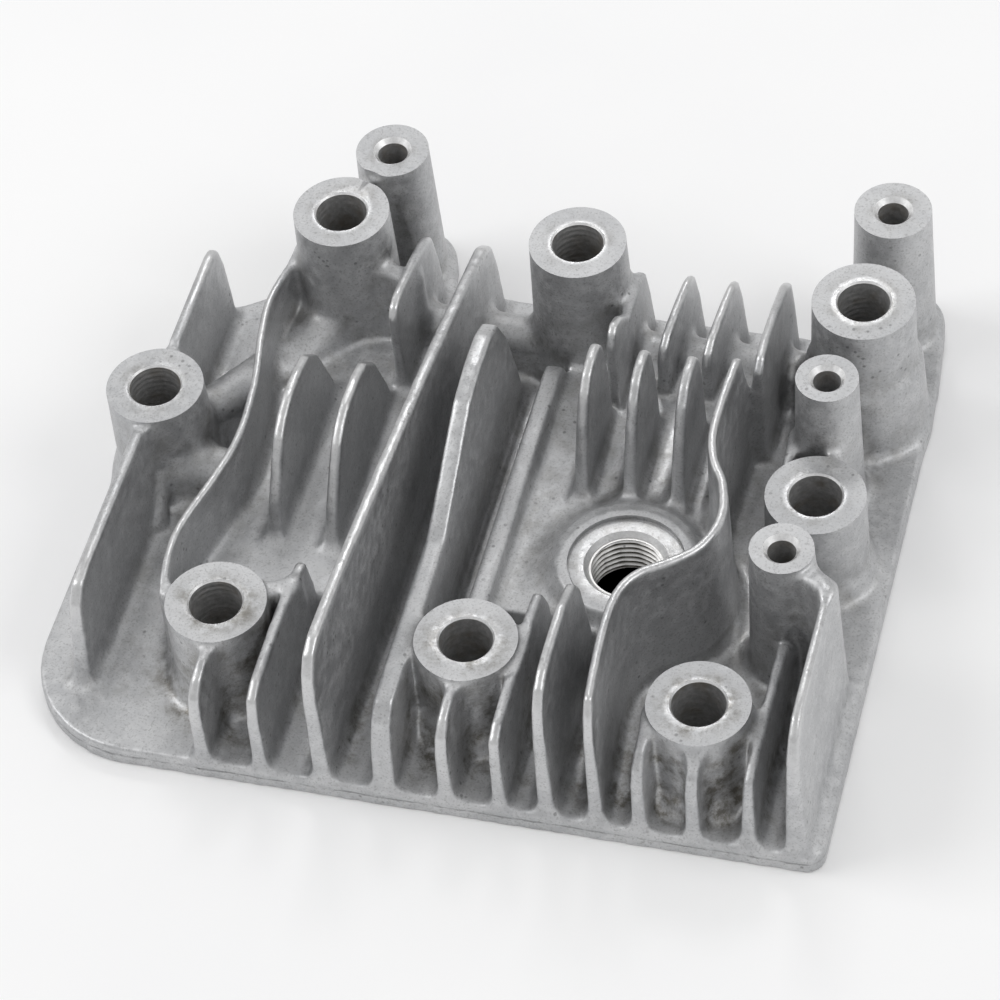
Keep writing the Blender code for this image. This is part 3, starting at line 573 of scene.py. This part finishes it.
def cast_material():
    n = Nodes("cast_aluminium")
    cavity = n.attribute("cavity")
    split = n.new("ShaderNodeSeparateXYZ", Vector=n.place)
    broad = n.noise(60.0, 3.0)
    mottle = n.noise(480.0, 5.0, 0.65)
    fine = n.noise(2400.0, 3.0, 0.6)
    colour = n.mix(n.ramp(broad, 0.34, 0.68), grey(0.49, -0.007), grey(0.58, -0.005))
    colour = n.mix(n.ramp(mottle, 0.40, 0.68, 0.0, 0.5), colour, grey(0.70, -0.004))
    colour = n.mix(n.ramp(fine, 0.50, 0.70, 0.0, 0.55), colour, grey(0.30))
    # soot and dirt gather in the roots, most of all near the front edge
    front = n.ramp(split.outputs["Y"], cad_low.y + 0.004, cad_low.y + 0.034, 1.0, 0.0)
    stain = n.ramp(n.noise(210.0, 6.0, 0.72), 0.40, 0.70)
    root = n.ramp(cavity, -0.28, 0.12)
    nearness = n.math("ADD", n.math("MULTIPLY", front, 0.7), 0.4)
    dirt = n.math("MULTIPLY", n.math("MULTIPLY", root, stain), nearness)
    colour = n.mix(n.math("MINIMUM", dirt, 0.85), colour, grey(0.14, 0.02))
    specks = n.ramp(n.voronoi(520.0), 0.10, 0.22, 1.0, 0.0)
    specks = n.math("MULTIPLY", specks, n.ramp(n.noise(90.0, 2.0), 0.52, 0.62))
    colour = n.mix(n.math("MULTIPLY", specks, 0.55), colour, grey(0.13))
    crest = n.ramp(cavity, -0.80, -0.66, 1.0, 0.0)
    colour = n.mix(n.math("MULTIPLY", crest, 0.5), colour, grey(0.70))
    # cold line left by the die's two halves along the edge of the deck
    seam_height = n.math("ADD", 0.0016, n.math("MULTIPLY", n.noise(260.0, 3.0), 0.0007))
    seam = n.math("ABSOLUTE", n.math("SUBTRACT", split.outputs["Z"], seam_height))
    broken = n.ramp(n.noise(330.0, 5.0, 0.7), 0.36, 0.66)
    seam = n.math("MULTIPLY", n.ramp(seam, 0.00008, 0.00028, 1.0, 0.0), broken)
    colour = n.mix(n.math("MULTIPLY", seam, 0.5), colour, grey(0.10))
    polished = n.math("MAXIMUM", n.ramp(cavity, -0.72, -0.45, 1.0, 0.0), n.ramp(cavity, 0.02, 0.14))
    rough = n.ramp(mottle, 0.3, 0.7, 0.46, 0.60)
    rough = n.math("SUBTRACT", rough, n.math("MULTIPLY", polished, 0.18))
    normal = n.bump(fine, 0.10, 0.0002)
    normal = n.bump(mottle, 0.15, 0.0006, normal)
    normal = n.bump(n.noise(160.0, 2.0), 0.25, 0.0014, normal)
    normal = n.bump(n.math("SUBTRACT", 1.0, seam), 0.6, 0.0004, normal)
    return n.surface(Base_Color=colour, Roughness=rough, Metallic=0.85, Normal=normal)


def machined_material():
    n = Nodes("machined_aluminium")
    wear = n.noise(1300.0, 6.0, 0.7)
    broad = n.noise(150.0, 4.0)
    colour = n.mix(n.ramp(wear, 0.35, 0.7), grey(0.72), grey(0.87))
    colour = n.mix(n.ramp(broad, 0.5, 0.75, 0.0, 0.4), colour, grey(0.56))
    # painted shade, nearly black, in the roots of the plug's thread, and a painted highlight on its crests
    split = n.new("ShaderNodeSeparateXYZ", Vector=n.place)
    flat = n.new("ShaderNodeCombineXYZ", X=split.outputs["X"], Y=split.outputs["Y"], Z=0.0)
    away = n.new("ShaderNodeVectorMath", _0=flat.outputs[0], _1=(plug.x / 1000, plug.y / 1000, 0.0))
    away.operation = "DISTANCE"
    away = away.outputs["Value"]
    below_rim = n.ramp(split.outputs["Z"], (PLUG_SEAT - 1.05) / 1000, (PLUG_SEAT - 0.9) / 1000, 1, 0)
    thread = n.math("MULTIPLY", below_rim, n.ramp(away, 0.0074, 0.0076, 1.0, 0.0))
    # painted highlight at the thread's crests, shading to painted shade in its roots
    root = n.ramp(away, (PLUG_BORE - 0.02) / 1000, (PLUG_BORE + 0.38) / 1000)
    colour = n.mix(thread, colour, n.mix(root, grey(0.85, 0.01), grey(0.05, 0.01)))
    nicks = n.ramp(n.voronoi(420.0), 0.05, 0.14, 1.0, 0.0)
    nicks = n.math("MULTIPLY", nicks, n.ramp(n.noise(70.0, 2.0), 0.50, 0.60))
    colour = n.mix(n.math("MULTIPLY", nicks, 0.6), colour, grey(0.16))
    rough = n.ramp(wear, 0.3, 0.7, 0.36, 0.50)
    normal = n.bump(wear, 0.25, 0.0002)
    return n.surface(Base_Color=colour, Roughness=rough, Metallic=0.9, Normal=normal)


def bore_material():
    """Walls marked by the bolts: fine lines of uneven strength, and a little brown deposit."""
    n = Nodes("drilled_bore")
    split = n.new("ShaderNodeSeparateXYZ", Vector=n.place)
    height = n.math("MULTIPLY", split.outputs["Z"], 1000 / THREAD_PITCH)
    wave = n.math("SINE", n.math("MULTIPLY", height, 2 * math.pi))
    worn = n.ramp(n.noise(110.0, 3.0), 0.45, 0.72, 0.1, 0.9)
    wave = n.math("MULTIPLY", wave, worn)
    wear = n.noise(800.0, 5.0, 0.7)
    colour = n.mix(n.ramp(wear, 0.35, 0.7), grey(0.40), grey(0.58))
    colour = n.mix(n.ramp(n.noise(240.0, 4.0), 0.45, 0.75, 0.0, 0.6), colour, (0.26, 0.21, 0.15, 1))
    colour = n.mix(n.ramp(wave, 0.0, 0.9, 0.0, 0.35), colour, grey(0.66))
    normal = n.bump(wave, 0.25, 0.0002)
    normal = n.bump(wear, 0.3, 0.0003, normal)
    return n.surface(Base_Color=colour, Roughness=0.48, Metallic=0.7, Normal=normal)


CAST, MACHINED, BORE = 0, 1, 2
casting.data.materials.clear()
for material in (cast_material(), machined_material(), bore_material()):
    casting.data.materials.append(material)


# ------------------------------------------------------------------ which faces are machined

mesh = casting.data
face_count = len(mesh.polygons)
centres = np.empty(face_count * 3, np.float32)
mesh.polygons.foreach_get("center", centres)
centres = centres.reshape(-1, 3) * 1000
normals = np.empty(face_count * 3, np.float32)
mesh.polygons.foreach_get("normal", normals)
normals = normals.reshape(-1, 3)
slots = np.zeros(face_count, np.int32)
slots[(centres[:, 2] < 0.05) & (normals[:, 2] < -0.9)] = MACHINED
for group in (bolt_bosses, shroud_bosses):
    for x0, y0, top, rim, bore in group.values():
        away = np.hypot(centres[:, 0] - x0, centres[:, 1] - y0)
        flat = (np.abs(centres[:, 2] - top) < 0.02) & (normals[:, 2] > 0.95) & (away < rim + 1.5)
        slots[flat] = MACHINED
        inside = away < bore + 0.15
        slots[inside & (centres[:, 2] < top - 0.01)] = BORE
        slots[(away < bore + 0.75) & (np.abs(centres[:, 2] - top + 0.3) < 0.6)] = MACHINED
away = np.hypot(centres[:, 0] - plug.x, centres[:, 1] - plug.y)
slots[(np.abs(centres[:, 2] - PLUG_SEAT) < 0.03) & (away < 10.3) & (normals[:, 2] > 0.9)] = MACHINED
slots[(away < PLUG_BORE + 1.2) & (centres[:, 2] < PLUG_SEAT + 0.2)] = MACHINED
mesh.polygons.foreach_set("material_index", slots)

vertex_points = np.empty(len(mesh.vertices) * 3, np.float32)
mesh.vertices.foreach_get("co", vertex_points)
vertex_points = vertex_points.reshape(-1, 3) * 1000
cavity = -sample(wide, vertex_points)
attribute = mesh.attributes.new("cavity", "FLOAT", "POINT")
attribute.data.foreach_set("value", np.clip(cavity / 2.5, -1, 1).astype(np.float32))

# Cast surfaces flow into each other; machined ones meet them at a sharp edge
mesh.shade_smooth()
loop_edges = np.empty(len(mesh.loops), np.int32)
mesh.loops.foreach_get("edge_index", loop_edges)
sides = np.empty(face_count, np.int32)
mesh.polygons.foreach_get("loop_total", sides)
owner = np.repeat(np.arange(face_count), sides)
order = np.argsort(loop_edges, kind="stable")
edge_ids, first = np.unique(loop_edges[order], return_index=True)
one = owner[order[first]]
two = owner[order[np.minimum(first + 1, len(order) - 1)]]
turn = np.einsum("ij,ij->i", normals[one], normals[two])
worked = (slots[one] != CAST) | (slots[two] != CAST)
sharp = np.zeros(len(mesh.edges), bool)
sharp[edge_ids] = (worked & (turn < math.cos(math.radians(25)))) | (turn < math.cos(math.radians(65)))
edge_attribute = mesh.attributes.get("sharp_edge") or mesh.attributes.new("sharp_edge", "BOOLEAN", "EDGE")
edge_attribute.data.foreach_set("value", sharp)

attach(casting, "root")
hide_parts(*sorted(nodes))


# ------------------------------------------------------------------ floor, light and camera

def floor_material():
    n = Nodes("pale_paper")
    tone = n.ramp(n.noise(9.0, 3.0), 0.3, 0.7)
    colour = n.mix(tone, (0.925, 0.925, 0.93, 1), (0.95, 0.95, 0.95, 1))
    return n.surface(Base_Color=colour, Roughness=0.85, Specular_IOR_Level=0.2)


bpy.ops.mesh.primitive_plane_add(size=6, location=(0, 0, -0.0002))
floor = bpy.context.active_object
floor.name = "floor"
floor.data.materials.append(floor_material())


def area_light(name, place, size, power):
    """White rectangular light, aimed at the frame's origin."""
    data = bpy.data.lights.new(name, "AREA")
    data.shape = "RECTANGLE"
    data.size, data.size_y = size
    data.energy = power
    obj = link(name, data)
    obj.location = place
    obj.rotation_mode = "QUATERNION"
    obj.rotation_quaternion = (-Vector(place)).to_track_quat("-Z", "Y")


area_light("key", place=(-0.95, -0.15, 0.95), size=(0.7, 0.7), power=4.8)
area_light("rim", place=(-0.20, 0.85, 0.95), size=(0.30, 0.22), power=1.5)
area_light("fill", place=(0.85, -0.05, 0.80), size=(0.6, 0.6), power=2.8)

SKY_STRENGTH = 0.64
world = bpy.data.worlds.new("studio")
bpy.context.scene.world = world
world.use_nodes = True
sky = world.node_tree.nodes["Background"]
sky.inputs["Color"].default_value = (1, 1, 1, 1)
sky.inputs["Strength"].default_value = SKY_STRENGTH
bpy.context.scene.view_settings.view_transform = "Standard"

# The camera looks down from the front right, turned a little about its own axis; degrees and millimetres
AZIMUTH, ELEVATION, ROLL, DISTANCE = 19.853, 49.540, -7.277, 712.71
SENSOR_WIDTH, FOCAL_LENGTH = 36.0, 141.84
FARTHEST_SEEN = 20.0
a, e, roll = (math.radians(v) for v in (AZIMUTH, ELEVATION, ROLL))
back = Vector((math.sin(a) * math.cos(e), -math.cos(a) * math.cos(e), math.sin(e)))
right = Vector((math.cos(a), math.sin(a), 0))
up = back.cross(right)
side = math.cos(roll) * right + math.sin(roll) * up
rise = -math.sin(roll) * right + math.cos(roll) * up
target = Vector(at(6.53, 69.25))
camera_data = bpy.data.cameras.new("camera")
camera_data.sensor_width = SENSOR_WIDTH
camera_data.lens = FOCAL_LENGTH
camera_data.clip_end = FARTHEST_SEEN
camera = link("camera", camera_data)
place = (target + back * DISTANCE) * 0.001
camera.matrix_world = Matrix((
    (side.x, rise.x, back.x, place.x),
    (side.y, rise.y, back.y, place.y),
    (side.z, rise.z, back.z, place.z),
    (0, 0, 0, 1)))
bpy.context.scene.camera = camera
